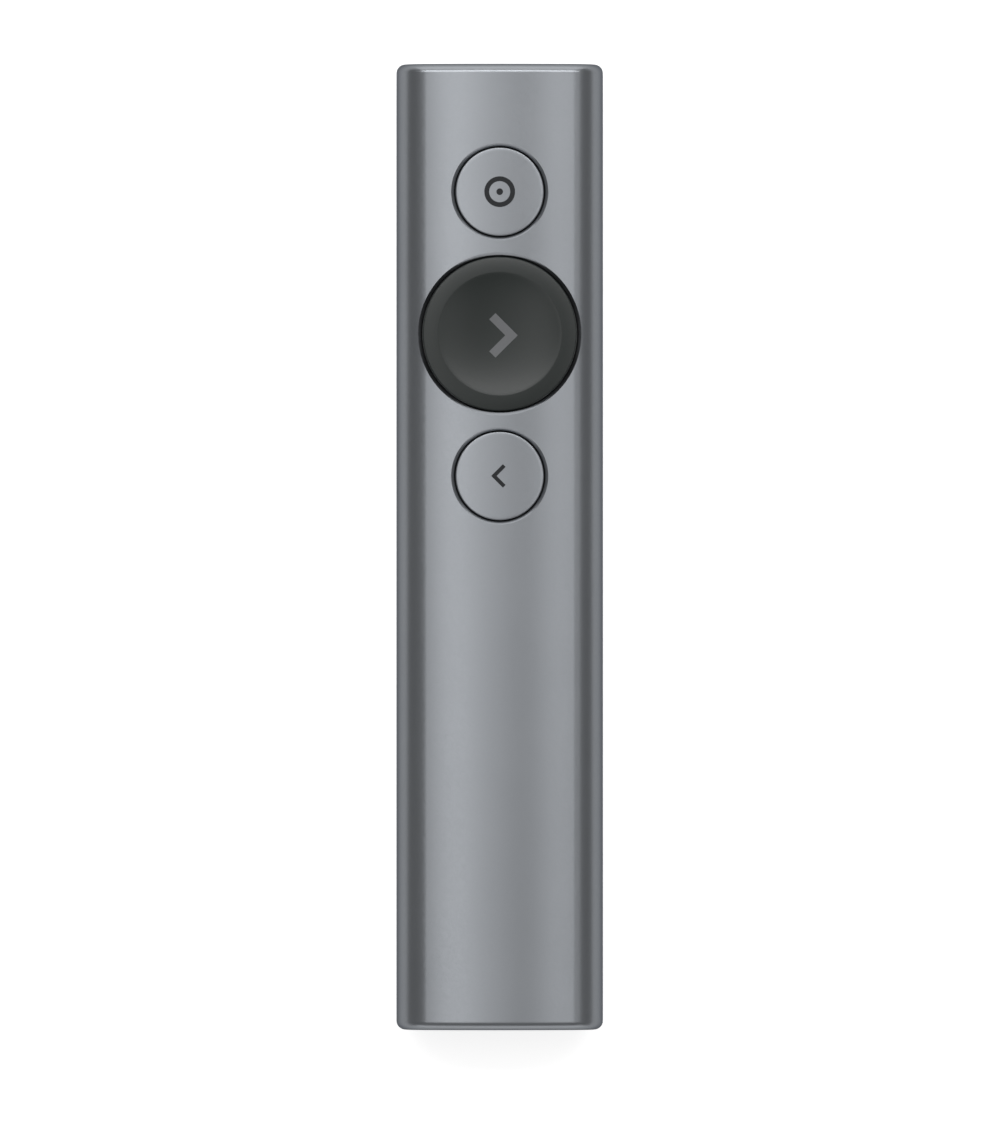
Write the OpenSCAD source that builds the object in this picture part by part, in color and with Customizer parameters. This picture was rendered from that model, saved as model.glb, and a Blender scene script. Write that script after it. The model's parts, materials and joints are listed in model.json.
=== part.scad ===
// Wireless presentation clicker: an oval aluminium tube with three keys on its
// front face and a plug-in radio receiver that docks in its tail.
// X runs across the body, +Y towards the nose, +Z out of the front face.
// The origin is under the middle of the body, on the flat of its back.

/* [Body tube] */
// Length of the tube over its rounded ends
body_l = 131.3; // [128:0.1:160]
// Width of the tube
body_w = 28.1; // [27.5:0.1:34]
// Thickness of the tube, from the flat of the back to the middle of the front
body_t = 12.1; // [12:0.1:15]
// Wall of the tube
wall = 1.3; // [1.25:0.05:1.5]
// How far the front falls from its middle line to the top of the rounded sides
crown_drop = 0.925; // [0.8:0.005:1.1]
// Depth of the flat on the back
back_flat = 0.15; // [0.1:0.05:0.3]
// Rounding of the outer edge at both ends
end_r = 1.2; // [0.5:0.05:1.2]

/* [Keys] */
// Middle of the pointer key, from the nose end
pointer_from_nose = 17.4; // [15:0.1:19]
// Distance from one key to the next
key_pitch = 19.3; // [19:0.1:23.4]
// Diameter of the pointer and back keys
small_key_d = 12; // [10:0.1:14.4]
// Diameter of the next key
next_key_d = 21; // [17.5:0.1:21.4]
// Gap between a small key and its hole
small_key_gap = 0.2; // [0.15:0.05:0.4]
// Gap between the next key and its hole
next_key_gap = 0.2; // [0.2:0.05:0.4]
// Travel of the pointer and back keys
small_travel = 0.4; // [0.2:0.05:0.45]
// Travel of the next key
next_travel = 0.5; // [0.2:0.05:0.5]
// Thickness of the metal face on a small key
small_face_t = 1; // [0.8:0.05:1.2]
// How far a key face lies below the crown of the tube
key_sink = 0.05; // [0:0.05:0.2]
// Diameter of the thumb dish in the next key
dish_d = 16.8; // [13:0.1:17]
// Depth of the thumb dish
dish_depth = 0.9; // [0.4:0.05:0.95]
// How steeply the rim round the dish falls away, in degrees
rim_slope = 5; // [2:0.5:12]
// Rounding of the rim's outer edge
rim_r = 0.2; // [0.2:0.05:0.5]

/* [Chassis] */
// Sliding gap between the chassis and the tube
slide_gap = 0.1; // [0.05:0.01:0.15]
// Wall of the lower tray
tray_t = 0.8; // [0.6:0.05:0.9]
// Thickness of the key plate in the upper frame
plate_t = 1; // [0.8:0.05:1.2]
// Side wall of the upper frame
frame_wall = 1.3; // [1:0.05:1.5]
// Thickness of the circuit board
board_t = 0.8; // [0.6:0.1:1]
// Outer diameter of the machine screws
screw_d = 1.4; // [1.2:0.1:1.6]
// Thickness of the cover that closes the nose
nose_cap_t = 1.2; // [0.8:0.1:1.6]
// Thickness of the plug behind the nose cover
nose_plug_t = 3.2; // [2.8:0.1:3.6]
// Thickness of the tray's end wall behind the plug
bulkhead_t = 2.4; // [1.8:0.1:2.6]

/* [Receiver and bay] */
// Width of the receiver's housing
receiver_w = 15.8; // [15:0.1:16]
// Thickness of the receiver's housing
receiver_t = 6.2; // [6.2:0.05:6.4]
// Length of the receiver, from its end cap to the tip of its plug
receiver_l = 32.2; // [30:0.1:38.7]
// Gap between the receiver and its bay
receiver_gap = 0.2; // [0.1:0.05:0.25]
// Wall of the bay
bay_wall = 0.7; // [0.6:0.05:0.75]
// How far the end pieces lie inside the ends of the tube
end_recess = 0.2; // [0.1:0.05:0.4]

/* [Battery] */
// Width of the battery cell
cell_w = 15; // [15:0.2:18]
// Thickness of the battery cell
cell_t = 3.8; // [3:0.1:4.6]

/* [Hidden] */
$fn = 48;
eps = 0.01;         // how far a cut, or a shape that is joined on, reaches past a face
slip = 0.05;        // gap of a guide, a push-in cover or a piece in its pocket
loose = 0.1;        // gap round a part that is dropped into place
thread_slip = 0.01; // radial gap of a screw in its pilot hole

// Section of the tube: two crown arcs joined by two side arcs, tangent where they meet
z_mid = (body_t - back_flat) / 2;
half_t = (body_t + back_flat) / 2;
side_r = half_t - crown_drop;
side_x = body_w / 2 - side_r;
crown_r = (pow(side_x, 2) + pow(half_t, 2) - pow(side_r, 2)) / (2 * crown_drop);
crown_c = crown_r - half_t;
blend_a = atan2(crown_c, side_x);
crown_steps = 10;
side_steps = 24;

// Height of the front surface, or of a surface that lies inset under it, at x
function front_z(x, inset = 0) =
    abs(x) < (crown_r - inset) * cos(blend_a)
    ? z_mid - crown_c + sqrt(pow(crown_r - inset, 2) - x * x)
    : z_mid + sqrt(pow(side_r - inset, 2) - pow(abs(x) - side_x, 2));

// Height of the back's surface, mirrored from the front's, at x
function back_z(x, inset = 0) = 2 * z_mid - front_z(x, inset);

// Half the width of the section, or of one inset in it, at height z on the rounded sides
function half_w(z, inset = 0) = side_x + sqrt(pow(side_r - inset, 2) - pow(z - z_mid, 2));

// Standard sizes of the receiver's plug and of the charging port
plug_w = 12;
plug_t = 4.5;
plug_l = 11.8;
plug_sheet = 0.3;
port_w = 8.94;
port_h = 3.26;
port_l = 7.35;
port_sheet = 0.25;

// Ends, keys and receiver along the body
y_nose = body_l / 2;
y_tail = -body_l / 2;
pointer_y = y_nose - pointer_from_nose;
next_y = pointer_y - key_pitch;
back_y = next_y - key_pitch;
nose_cap_y = y_nose - end_recess - nose_cap_t;
nose_plug_y = nose_cap_y - nose_plug_t;
bulkhead_y = nose_plug_y - bulkhead_t;
bezel_t = 1.6;
bezel_y = y_tail + end_recess;
sleeve_y = bezel_y + bezel_t;
receiver_y = bezel_y + slip;
receiver_tip_y = receiver_y + receiver_l;
tip_gap = 0.3;
bay_end_t = 1.2;
bay_end_y = receiver_tip_y + tip_gap;
tray_y = bay_end_y + bay_end_t;
board_y = tray_y + loose;
board_end_y = bulkhead_y - loose;
port_y = bay_end_y + loose;

// Levels, from the back to the front
board_top = z_mid - port_h / 2;
board_bot = board_top - board_t;
plate_room = 1;        // from the tube's inner wall at the next key's hole to the key plate
stop_gap = 0.45;       // left under a key at the end of its travel
plate_top = front_z(next_key_d / 2 + next_key_gap, wall) - plate_room;
plate_bot = plate_top - plate_t;

// Keys
small_key_r = small_key_d / 2;
next_key_r = next_key_d / 2;
small_hole_r = small_key_r + small_key_gap;
next_hole_r = next_key_r + next_key_gap;
key_top = body_t - key_sink;
seam_sink = 0.4;       // the next key's seam lies this far below the lowest edge of its hole
small_seam_z = key_top - small_face_t;
next_seam_z = front_z(next_hole_r) - seam_sink;
small_core_bot = plate_top + small_travel + stop_gap;
next_core_bot = plate_top + next_travel + stop_gap;
core_inset = 0.15;     // a core is this much smaller in radius than the face it carries
barrel_wall = 0.85;
small_barrel_r = small_key_r - 1.45;
next_barrel_r = next_key_r - 1.95;
small_post_r = 1.3;
next_post_r = 1.5;
web_t = 0.8;
web_h = 1;
hook_h = 0.7;
hook_gap = 0.1;
hook_reach = 0.4;
hook_w = 2.4;
slit_w = 0.4;
barrel_bot = plate_bot - hook_gap - hook_h;

// Tactile switches
switch_w = 4.5;
switch_base_h = 1.6;
switch_cover_t = 0.3;
switch_h = 3.5;
switch_floor = 0.5;
dome_h = 0.6;
dome_r = 1.8;
dome_top_r = 0.6;
dome_t = 0.1;
stem_r = 1.15;
stem_flange_r = 1.6;
stem_flange_t = 0.4;
stem_top = board_top + switch_h;

// Screws
screw_r = screw_d / 2;
head_r = screw_r + 0.5;
head_t = 0.6;
socket_r = screw_r * 0.75;
boss_r = screw_r + 1;
screw_hole_r = screw_r + 0.15;
head_hole_r = head_r + 0.15;
pilot_r = screw_r + thread_slip;
pilot_floor = 0.4;     // left between a pilot hole and the outside of its boss
frame_screw_x = 6.5;
frame_screw_at = [for (side = [-1, 1], row = [-1, 1])
    [side * frame_screw_x, next_y + row * key_pitch / 2]];
board_screw_x = 7.4;
board_screw_y = board_y + 2.2;
board_screw_at = [for (side = [-1, 1]) [side * board_screw_x, board_screw_y]];

// Nose
nose_screw_x = side_x - 0.8;
nose_screw_grip = 1.4; // plug left under the head of a nose screw
nose_pin_r = 0.8;
nose_pin_x = 4;
nose_pin_l = 1.2;
nose_pocket_w = 4;
nose_pocket_h = 5;

// Chassis
chassis_inset = wall + slide_gap;
frame_y = back_y - small_barrel_r - 2.8;
board_w = 2 * (half_w(board_bot, wall) - slip) - loose;
lug_t = 1;
lug_l = 4.4;
lug_w = 4.2;

// Bay, and the springs that grip the receiver in it
bay_w = receiver_w + 2 * receiver_gap;
bay_h = receiver_t + 2 * receiver_gap;
receiver_corner_r = 1;
bay_corner_r = receiver_corner_r + receiver_gap;
rib_t = 1.2;
spring_l = 10.6;
spring_h = 2.8;
spring_t = 0.2;
spring_touch_gap = 0.03;
spring_bow = 1;
spring_steps = 16;
spring_x = receiver_w / 2 + spring_touch_gap;
spring_y = receiver_y + 11;
pocket_x = spring_x + spring_bow + spring_t + spring_touch_gap;
pocket_wall = 0.8;
leg_w = 2.4;
leg_t = 0.7;
leg_hook = 0.3;
leg_x = bay_w / 2 + bay_wall + 0.75;

// Receiver
housing_wall = 0.8;
housing_lip = 1;
end_cap_t = 2.6;
end_cap_spigot = 1.4;
housing_y = receiver_y + end_cap_t;
housing_end_y = receiver_tip_y - plug_l;
plug_root_y = housing_end_y - 3;
plug_corner_r = 0.3;
plug_window = 2.2;
plug_window_x = 2.9;
plug_window_y = receiver_tip_y - 6.4;
plug_tongue_w = plug_w - 2 * plug_sheet - 0.2;
plug_tongue_t = 1.85;
plug_tongue_z = z_mid - plug_t / 2 + plug_sheet + 0.02;
plug_tongue_sink = 0.8;
plug_block_l = 3;
contact_pitch = 2.2;
contact_w = 1;
contact_l = 7.6;
contact_t = 0.15;
loop_l = 11;
loop_w = 3.2;
loop_t = 0.7;
loop_leg = 3.6;
loop_recess = 1.9;
loop_recess_h = receiver_t - 1.4;
receiver_board_y = housing_y + end_cap_spigot + 0.2;
receiver_board_t = 0.8;
receiver_chip_w = 4;

// Vibration motor, lying across the board
motor_r = 2;
motor_l = 8;
motor_x = -7.5;
boot_t = 0.35;
boot_l = 5.5;
boot_x = motor_x + 1.2 + boot_l / 2;
boot_w = 2 * (motor_r + boot_t);
boot_slip = 0.02;
motor_y = frame_y - boot_w / 2 - 0.4;
motor_z = board_top + boot_w / 2;
motor_shaft_r = 0.4;
motor_shaft_out = 4.8;
motor_bore_l = 3;
motor_bore_gap = 0.03;
weight_r = 1.9;
weight_hub_r = 0.9;
weight_l = 3.6;
weight_x = motor_x + motor_l + 0.5;
motor_lead_r = 0.3;
motor_lead_pitch = 1.6;

// Battery, between the charging port and the motor
tape_t = 0.2;
tape_margin = 0.5;
circuit_t = 1.2;
cell_corner_r = 0.8;
battery_plug_y = board_y + 5;
battery_plug_l = 2.6;
lead_l = 2.5;
lead_r = 0.35;
lead_x = [5.9, 7.1];
lead_z = board_top + 1.6;
battery_socket_x = (lead_x[0] + lead_x[1]) / 2;
battery_socket_w = 3.8;
battery_socket_h = 2.6;
battery_socket_wall = 0.5;
circuit_y = battery_plug_y + battery_plug_l + lead_l;
cell_y = circuit_y + circuit_t;
cell_end_y = motor_y - boot_w / 2 - 0.6;

// ---- Shared shapes ----

// Points of an arc, without its last one, so that arcs can follow each other
function arc(cx, cy, r, from, to, steps) =
    [for (i = [0 : steps - 1])
        let (a = from + (to - from) * i / steps)
        [cx + r * cos(a), cy + r * sin(a)]];

// Points of an arc, with its last one
function whole_arc(cx, cy, r, from, to, steps) =
    concat(arc(cx, cy, r, from, to, steps), [[cx + r * cos(to), cy + r * sin(to)]]);

// The tube's section in X and Z, inset evenly by the given amount
function oval(inset) = concat(
    arc(side_x, z_mid, side_r - inset, -blend_a, blend_a, side_steps),
    arc(0, z_mid - crown_c, crown_r - inset, blend_a, 180 - blend_a, crown_steps),
    arc(-side_x, z_mid, side_r - inset, 180 - blend_a, 180 + blend_a, side_steps),
    arc(0, z_mid + crown_c, crown_r - inset, 180 + blend_a, 360 - blend_a, crown_steps));

// A rectangle with rounded corners, centred on the origin
function rounded(w, h, r, steps = 5) = concat(
    whole_arc(w / 2 - r, h / 2 - r, r, 0, 90, steps),
    whole_arc(r - w / 2, h / 2 - r, r, 90, 180, steps),
    whole_arc(r - w / 2, r - h / 2, r, 180, 270, steps),
    whole_arc(w / 2 - r, r - h / 2, r, 270, 360, steps));

// Extrudes a section drawn in X and Z along Y, from y0 to y1
module along_y(y0, y1) {
    translate([0, y1, 0]) rotate([90, 0, 0]) linear_extrude(y1 - y0) children();
}

// A length of the tube's section
module oval_block(inset, y0, y1) {
    along_y(y0, y1) polygon(oval(inset));
}

// A rounded bar along Y, centred on the middle plane
module bar(w, h, r, y0, y1) {
    along_y(y0, y1) translate([0, z_mid]) polygon(rounded(w, h, r));
}

// A box centred on x, starting at y and z
module box(x, y, z, size) {
    translate([x - size[0] / 2, y, z]) cube(size);
}

// A box as wide as the body, between two lengths and two heights
module slab(y0, y1, z0, z1) {
    box(0, y0, z0, [body_w, y1 - y0, z1 - z0]);
}

// A cylinder between two heights
module post(at, r, z0, z1) {
    translate([at[0], at[1], z0]) cylinder(r = r, h = z1 - z0);
}

// A cylinder along Y, placed in X and Z
module rod(at, r, y0, y1) {
    translate([at[0], y1, at[1]]) rotate([90, 0, 0]) cylinder(r = r, h = y1 - y0);
}

// A machine screw, head up, with its tip at z0 and its head seated at z1
module screw(at, z0, z1) {
    post(at, screw_r, z0, z1 + eps);
    difference() {
        post(at, head_r, z1, z1 + head_t);
        translate([at[0], at[1], z1 + head_t / 2]) cylinder(r = socket_r, h = head_t, $fn = 6);
    }
}

// ---- Tube and its ends ----

module body_tube() {
    color("#8c9096") difference() {
        intersection() {
            oval_block(0, y_tail, y_nose);
            linear_extrude(body_t) polygon(rounded(body_w, body_l, end_r));
            translate([-body_w / 2, 0, body_t / 2]) rotate([90, 0, 90])
                linear_extrude(body_w) polygon(rounded(body_l, body_t, end_r));
        }
        oval_block(wall, y_tail - eps, y_nose + eps);
        for (y = [pointer_y, back_y]) post([0, y], small_hole_r, z_mid, body_t + eps);
        post([0, next_y], next_hole_r, z_mid, body_t + eps);
    }
}

module nose_cap() {
    color("#4c4f54") {
        oval_block(wall + slip, nose_cap_y, nose_cap_y + nose_cap_t);
        for (side = [-1, 1])
            rod([side * nose_pin_x, z_mid], nose_pin_r, nose_cap_y - nose_pin_l, nose_cap_y + eps);
    }
}

module nose_plug() {
    seat_y = nose_plug_y + nose_screw_grip;
    color("#2b2d30") difference() {
        oval_block(wall + slip, nose_plug_y, nose_cap_y);
        for (side = [-1, 1]) {
            rod([side * nose_screw_x, z_mid], screw_hole_r, nose_plug_y - eps, seat_y + eps);
            rod([side * nose_screw_x, z_mid], head_hole_r, seat_y, nose_cap_y + eps);
            rod([side * nose_pin_x, z_mid], nose_pin_r + slip, nose_cap_y - nose_pin_l - loose,
                nose_cap_y + eps);
        }
        bar(nose_pocket_w, nose_pocket_h, slip, seat_y, nose_cap_y + eps);
    }
}

module nose_screws() {
    color("#8a8d90") for (side = [-1, 1])
        translate([side * nose_screw_x, nose_plug_y + nose_screw_grip, z_mid])
            rotate([-90, 0, 0])
            screw([0, 0], pilot_floor + loose - bulkhead_t - nose_screw_grip, 0);
}

module tail_bezel() {
    hook_y = sleeve_y + rib_t + slip;
    color("#2e3033") {
        difference() {
            oval_block(wall + slip, bezel_y, sleeve_y);
            bar(bay_w, bay_h, bay_corner_r, bezel_y - eps, sleeve_y + eps);
        }
        for (side = [-1, 1]) {
            box(side * leg_x, sleeve_y - eps, z_mid - leg_w / 2,
                [leg_t, hook_y + hook_h - sleeve_y + eps, leg_w]);
            box(side * (leg_x + leg_hook), hook_y, z_mid - leg_w / 2, [leg_t, hook_h, leg_w]);
        }
    }
}

// ---- Receiver bay ----

// A block at one side of the bay for a spring, grown by the given amount all round
module spring_block(side, grow) {
    inner_x = bay_w / 2 - eps;
    outer_x = pocket_x + grow;
    box(side * (inner_x + outer_x) / 2, spring_y - spring_l / 2 - loose - grow,
        z_mid - spring_h / 2 - loose - grow,
        [outer_x - inner_x, spring_l + 2 * (loose + grow), spring_h + 2 * (loose + grow)]);
}

module bay_sleeve() {
    mid_rib_y = (spring_y + spring_l / 2 + bay_end_y) / 2;
    color("#232527") difference() {
        union() {
            bar(bay_w + 2 * bay_wall, bay_h + 2 * bay_wall, bay_corner_r + bay_wall, sleeve_y, tray_y);
            for (y = [sleeve_y, mid_rib_y]) oval_block(chassis_inset, y, y + rib_t);
            oval_block(chassis_inset, bay_end_y, tray_y);
            for (side = [-1, 1]) spring_block(side, pocket_wall);
            for (at = board_screw_at)
                box(at[0], tray_y - eps, board_top, [lug_w, lug_l + eps, lug_t]);
        }
        bar(bay_w, bay_h, bay_corner_r, sleeve_y - eps, bay_end_y);
        bar(port_w + 2 * loose, port_h + 2 * loose, port_h / 2, bay_end_y - eps, tray_y + eps);
        for (side = [-1, 1]) {
            spring_block(side, 0);
            box(side * (leg_x - leg_hook / 2), sleeve_y - eps, z_mid - leg_w / 2 - loose,
                [leg_t + leg_hook + 2 * loose, rib_t + 2 * eps, leg_w + 2 * loose]);
        }
        for (at = board_screw_at) post(at, screw_hole_r, board_top - eps, board_top + lug_t + eps);
    }
}

// Each spring is a bowed steel strip whose ends rest on the back of its pocket
module bay_springs() {
    bow_r = (pow(spring_l / 2, 2) + pow(spring_bow, 2)) / (2 * spring_bow);
    bow_a = asin(spring_l / 2 / bow_r);
    centre_x = spring_x + spring_t + bow_r;
    outline = concat(
        whole_arc(centre_x, spring_y, bow_r, 180 - bow_a, 180 + bow_a, spring_steps),
        whole_arc(centre_x, spring_y, bow_r + spring_t, 180 + bow_a, 180 - bow_a, spring_steps));
    color("#b5b8bb") for (side = [-1, 1])
        scale([side, 1, 1]) translate([0, 0, z_mid - spring_h / 2])
            linear_extrude(spring_h) polygon(outline);
}

// ---- Chassis ----

// Pilot holes in the tray, from above, ending short of its outside
module pilot_holes(places) {
    for (at = places)
        post(at, pilot_r, back_z(at[0], chassis_inset) + pilot_floor, board_bot + eps);
}

module chassis_tray() {
    color("#3a3d41") difference() {
        union() {
            difference() {
                intersection() {
                    oval_block(chassis_inset, tray_y, nose_plug_y);
                    slab(tray_y, nose_plug_y, 0, board_bot);
                }
                oval_block(chassis_inset + tray_t, tray_y + tray_t, bulkhead_y);
            }
            intersection() {
                oval_block(chassis_inset, tray_y, bulkhead_y);
                for (at = concat(frame_screw_at, board_screw_at)) post(at, boss_r, 0, board_bot);
            }
            intersection() {
                oval_block(chassis_inset, bulkhead_y, nose_plug_y);
                slab(bulkhead_y, nose_plug_y, 0, plate_top);
            }
        }
        pilot_holes(concat(frame_screw_at, board_screw_at));
        for (side = [-1, 1])
            rod([side * nose_screw_x, z_mid], pilot_r, bulkhead_y + pilot_floor, nose_plug_y + eps);
    }
}

module button_frame() {
    color("#46494d") difference() {
        intersection() {
            oval_block(chassis_inset, frame_y, bulkhead_y);
            slab(frame_y, bulkhead_y, board_top, plate_top);
        }
        difference() {
            intersection() {
                oval_block(chassis_inset + frame_wall, frame_y + frame_wall, bulkhead_y - frame_wall);
                slab(frame_y, bulkhead_y, board_top - eps, plate_bot);
            }
            for (at = frame_screw_at) post(at, boss_r, board_top, plate_bot);
        }
        for (y = [pointer_y, back_y])
            post([0, y], small_barrel_r + slip, plate_bot - eps, plate_top + eps);
        post([0, next_y], next_barrel_r + slip, plate_bot - eps, plate_top + eps);
        for (at = frame_screw_at) {
            post(at, screw_hole_r, board_top - eps, plate_top + eps);
            post(at, head_hole_r, plate_top - head_t, plate_top + eps);
        }
    }
}

// Screws that enter the tray's pilot holes and seat their heads at the given height
module tray_screws(places, seat_z) {
    color("#8a8d90") for (at = places)
        screw(at, back_z(at[0], chassis_inset) + pilot_floor + loose, seat_z);
}

module main_board() {
    color("#1f4a35") difference() {
        box(0, board_y, board_bot, [board_w, board_end_y - board_y, board_t]);
        for (at = concat(frame_screw_at, board_screw_at))
            post(at, screw_hole_r, board_bot - eps, board_top + eps);
    }
}

// ---- Tactile switches ----

module switch_bases() {
    color("#1b1c1e") for (y = [pointer_y, next_y, back_y]) difference() {
        box(0, y - switch_w / 2, board_top, [switch_w, switch_w, switch_base_h]);
        post([0, y], dome_r + loose, board_top + switch_floor, board_top + switch_base_h + eps);
    }
}

module switch_covers() {
    cover_z = board_top + switch_base_h;
    color("#c3c6c9") for (y = [pointer_y, next_y, back_y]) difference() {
        box(0, y - switch_w / 2, cover_z, [switch_w, switch_w, switch_cover_t]);
        post([0, y], stem_r + loose, cover_z - eps, cover_z + switch_cover_t + eps);
    }
}

module snap_dome(y) {
    color("#d0d3d6") translate([0, y, board_top + switch_floor]) rotate_extrude()
        polygon([
            [0, dome_h - dome_t], [dome_top_r, dome_h - dome_t], [dome_r - dome_t, 0],
            [dome_r, 0], [dome_top_r + dome_t / 2, dome_h], [0, dome_h],
        ]);
}

module plunger(y) {
    base_z = board_top + switch_floor + dome_h;
    color("#e4e0d4") {
        post([0, y], stem_flange_r, base_z, base_z + stem_flange_t);
        post([0, y], stem_r, base_z, stem_top);
    }
}

// ---- Keys ----

// The guide barrel under a key: a split tube with a hook at the foot of each tongue
module guide_barrel(y, r, top, hook_angles) {
    inner_r = r - barrel_wall;
    difference() {
        post([0, y], r, barrel_bot, top);
        post([0, y], inner_r, barrel_bot - eps, top + eps);
        for (a = hook_angles, side = [-1, 1])
            translate([0, y, barrel_bot - eps]) rotate([0, 0, a])
                translate([inner_r - slit_w, side * (hook_w + slit_w) / 2 - slit_w / 2, 0])
                    cube([barrel_wall + 2 * slit_w, slit_w, hook_h + plate_t]);
    }
    for (a = hook_angles) translate([0, y, barrel_bot]) rotate([0, 0, a])
        translate([r - barrel_wall / 2, -hook_w / 2, 0])
            cube([barrel_wall / 2 + hook_reach, hook_w, hook_h]);
}

// The moulded core of a key: a disc that carries the face, a barrel that guides it
// in the key plate, and a post that presses the switch
module key_core(y, r, bottom, seam, barrel_r, post_r, hook_angles) {
    post([0, y], r - core_inset, bottom, seam);
    guide_barrel(y, barrel_r, bottom + eps, hook_angles);
    post([0, y], post_r, stem_top, bottom + eps);
}

// The metal face of a small key, which carries on the crown of the tube
module small_face(y) {
    color("#9ea2a8") intersection() {
        post([0, y], small_key_r, small_seam_z, body_t);
        oval_block(key_sink, y - small_key_r - 1, y + small_key_r + 1);
    }
}

module small_core(y) {
    color("#303236")
        key_core(y, small_key_r, small_core_bot, small_seam_z, small_barrel_r, small_post_r,
            [0, 180]);
}

// The next key's face: a sloping rim round a spherical dish
module next_face() {
    dish_r = (pow(dish_d / 2, 2) + pow(dish_depth, 2)) / (2 * dish_depth);
    dish_a = asin(dish_d / 2 / dish_r);
    rim_x = next_key_r - rim_r;
    rim_z = key_top - (rim_x - dish_d / 2) * tan(rim_slope) - rim_r / cos(rim_slope);
    profile = concat(
        [[0, next_seam_z], [next_key_r, next_seam_z]],
        whole_arc(rim_x, rim_z, rim_r, 0, 90 - rim_slope, 6),
        whole_arc(0, key_top - dish_depth + dish_r, dish_r, dish_a - 90, -90, 8));
    color("#3b3e3d") translate([0, next_y, 0]) rotate_extrude($fn = 96) polygon(profile);
}

// The next key's core, with two crossed webs that stiffen its wide disc
module next_core() {
    color("#303236") {
        key_core(next_y, next_key_r, next_core_bot, next_seam_z, next_barrel_r, next_post_r,
            [0, 90, 180, 270]);
        for (a = [45, 135]) translate([0, next_y, next_core_bot - web_h]) rotate([0, 0, a])
            difference() {
                translate([barrel_wall / 2 - next_barrel_r, -web_t / 2, 0])
                    cube([2 * next_barrel_r - barrel_wall, web_t, web_h + eps]);
                translate([0, 0, -eps]) cylinder(r = next_post_r - loose, h = web_h + 3 * eps);
            }
    }
}

// ---- Battery ----

module battery_tape() {
    color("#d9d9d4")
        box(0, circuit_y + tape_margin, board_top,
            [cell_w - 2 * tape_margin, cell_end_y - circuit_y - 2 * tape_margin, tape_t]);
}

module battery_cell() {
    color("#b9bcc0") along_y(cell_y, cell_end_y) translate([0, board_top + tape_t + cell_t / 2])
        polygon(rounded(cell_w, cell_t, cell_corner_r));
}

module battery_circuit() {
    color("#d2a23a")
        box(0, circuit_y, board_top + tape_t, [cell_w, circuit_t, cell_t - cell_corner_r]);
}

// Two short wires from the circuit strip to the plug
module battery_leads() {
    color("#a33330") for (x = lead_x) rod([x, lead_z], lead_r, circuit_y - lead_l, circuit_y);
}

module battery_socket() {
    w = battery_socket_wall;
    color("#e8e4d8") difference() {
        box(battery_socket_x, battery_plug_y - w, board_top,
            [battery_socket_w, battery_plug_l, battery_socket_h]);
        box(battery_socket_x, battery_plug_y, board_top + w,
            [battery_socket_w - 2 * w, battery_plug_l, battery_socket_h]);
    }
}

module battery_plug() {
    w = battery_socket_wall + slip;
    color("#f2f0ea")
        box(battery_socket_x, battery_plug_y + slip, board_top + w,
            [battery_socket_w - 2 * w, battery_plug_l - slip, battery_socket_h - w]);
}

// ---- Vibration motor ----

// Extrudes a section along X from x0, about the motor's axis
module on_motor_axis(x0, l) {
    translate([x0, motor_y, motor_z]) rotate([0, 90, 0]) linear_extrude(l) children();
}

module motor_can() {
    color("#b9bcc0") difference() {
        on_motor_axis(motor_x, motor_l) circle(r = motor_r);
        on_motor_axis(motor_x + motor_l - motor_bore_l, motor_bore_l + eps)
            circle(r = motor_shaft_r + motor_bore_gap);
    }
}

module motor_boot() {
    color("#3c3f42") difference() {
        box(boot_x, motor_y - boot_w / 2, board_top, [boot_l, boot_w, boot_w]);
        on_motor_axis(motor_x, motor_l) circle(r = motor_r + boot_slip);
    }
}

// Two wires that bend from the motor's end down to the board
module motor_leads() {
    color("#2f55a0") for (side = [-1, 1])
        translate([motor_x, motor_y + side * motor_lead_pitch / 2, board_top])
            rotate([90, -90, 0]) rotate_extrude(angle = 90)
            translate([motor_z - board_top, 0]) circle(r = motor_lead_r);
}

module motor_shaft() {
    shaft_x = motor_x + motor_l - motor_bore_l + loose;
    color("#d0d3d6")
        on_motor_axis(shaft_x, motor_bore_l - loose + motor_shaft_out) circle(r = motor_shaft_r);
}

module motor_weight() {
    color("#77797c") on_motor_axis(weight_x, weight_l) difference() {
        union() {
            intersection() {
                circle(r = weight_r);
                translate([0, -weight_r]) square([weight_r, 2 * weight_r]);
            }
            circle(r = weight_hub_r);
        }
        circle(r = motor_shaft_r);
    }
}

// ---- Charging port ----

port_in_w = port_w - 2 * port_sheet;
port_in_h = port_h - 2 * port_sheet;
port_floor_y = port_y + port_l - port_sheet;

module charge_port_shell() {
    color("#c3c6c9") difference() {
        bar(port_w, port_h, port_h / 2 - eps, port_y, port_y + port_l);
        bar(port_in_w, port_in_h, port_in_h / 2 - eps, port_y - eps, port_floor_y);
    }
}

module charge_port_tongue() {
    tongue_w = 6.7;
    tongue_t = 0.7;
    tongue_sink = 0.5;
    block_l = 1.8;
    color("#1b1c1e") {
        bar(tongue_w, tongue_t, tongue_t / 3, port_y + tongue_sink, port_floor_y - block_l + eps);
        bar(port_in_w - loose, port_in_h - loose, port_in_h / 2 - loose,
            port_floor_y - block_l, port_floor_y);
    }
}

// ---- Chips on the board ----

module chip(x, y, size) {
    box(x, y - size[1] / 2, board_top, size);
}

module radio_chip() {
    color("#17181a") chip(0, next_y + key_pitch / 2 - 0.6, [5, 5, 0.9]);
}

module clock_crystal() {
    color("#c9ccce") chip(0, next_y + key_pitch / 2 + 3.6, [3.2, 2.5, 0.7]);
}

module motion_sensor() {
    color("#202123") chip(0, next_y - key_pitch / 2 + 1, [3, 2.5, 0.8]);
}

module charger_chip() {
    color("#17181a") chip(-battery_socket_x, battery_plug_y + 1.4, [3, 3, 0.8]);
}

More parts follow.
